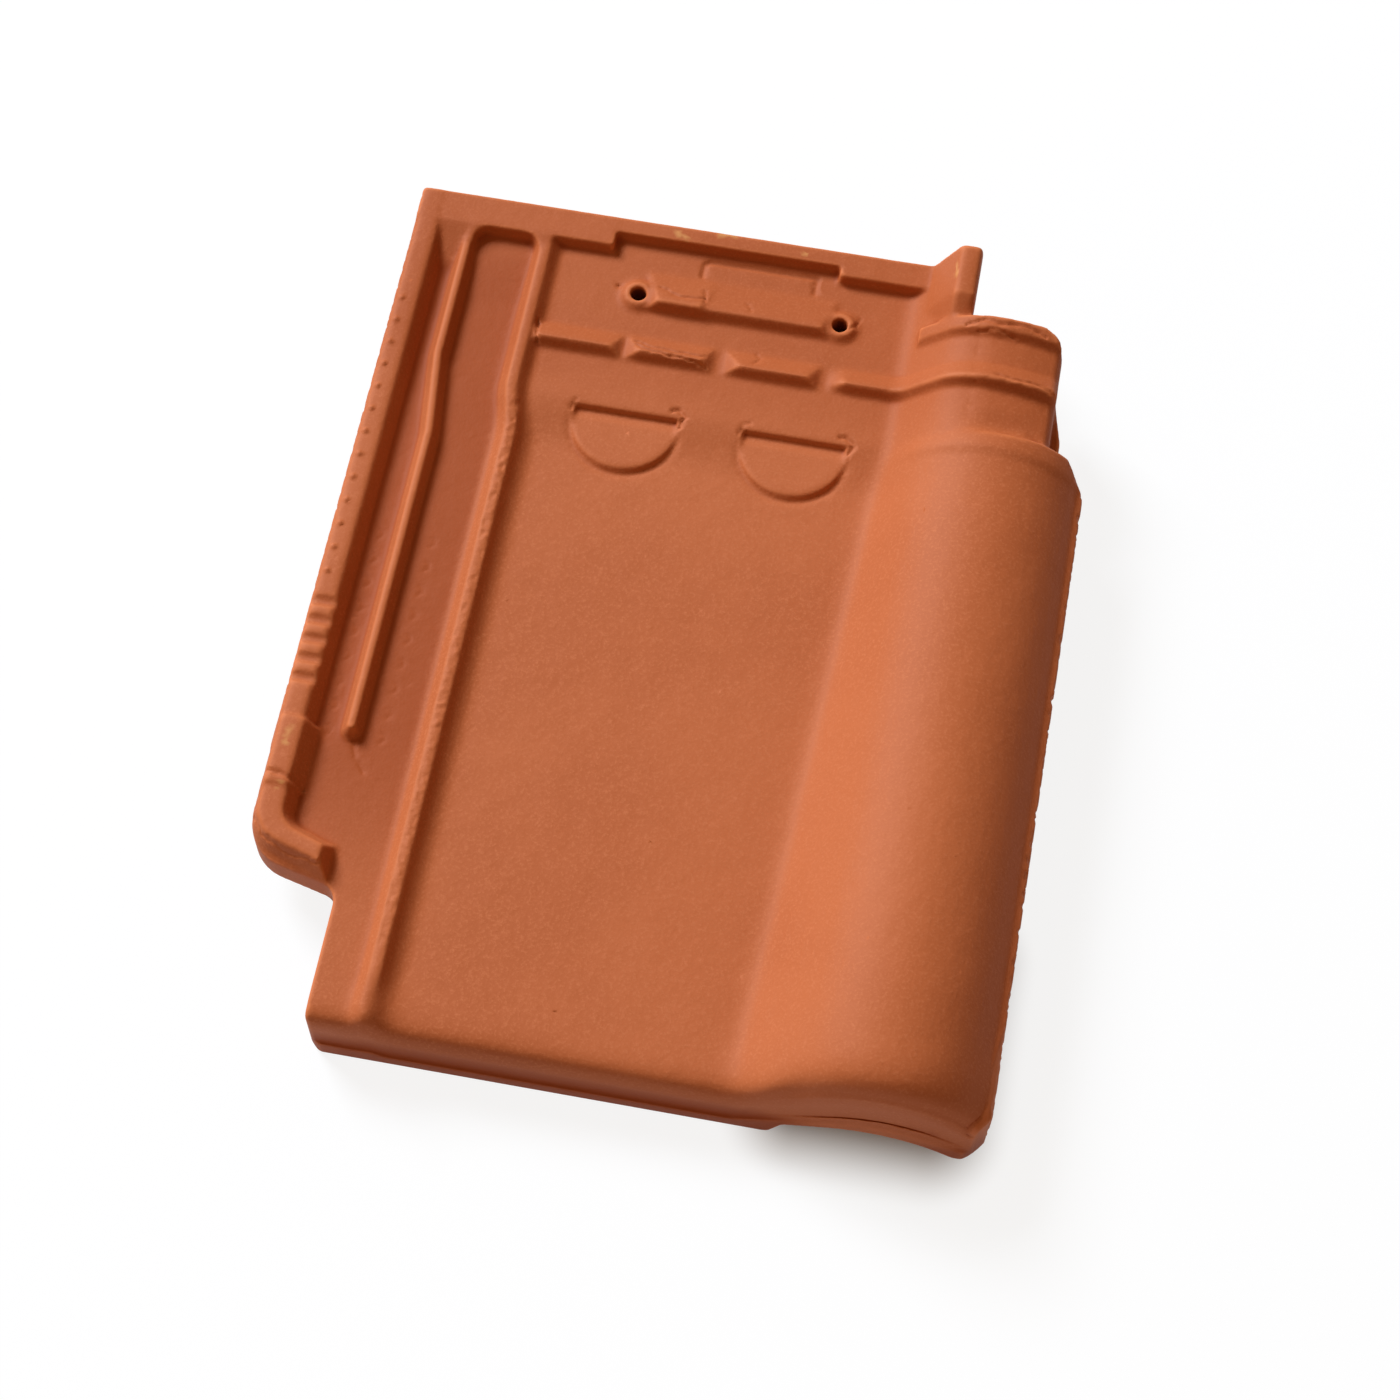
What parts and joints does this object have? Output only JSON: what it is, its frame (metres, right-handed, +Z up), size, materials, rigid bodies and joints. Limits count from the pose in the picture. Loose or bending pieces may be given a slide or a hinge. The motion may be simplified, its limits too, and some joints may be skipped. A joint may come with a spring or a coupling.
{
  "type": "interlocking clay roof tile",
  "caption": "Pressed clay roof tile with a flat pan, a side lock of channels on one edge, a hollow roll on the other, nail holes and hanging nibs at the head.",
  "frame": {"origin": "centre of the tile's rectangle, on the floor under its front lip and nibs", "axes": "+X towards the roll, +Y towards the head, +Z up out of the weathered face"},
  "size_m": [0.275, 0.35, 0.0548],
  "materials": {
    "terracotta": "matte fired clay with fine sandy grain"
  },
  "bodies": {
    "root": {"roof_tile": "terracotta"}
  },
  "joints": []
}
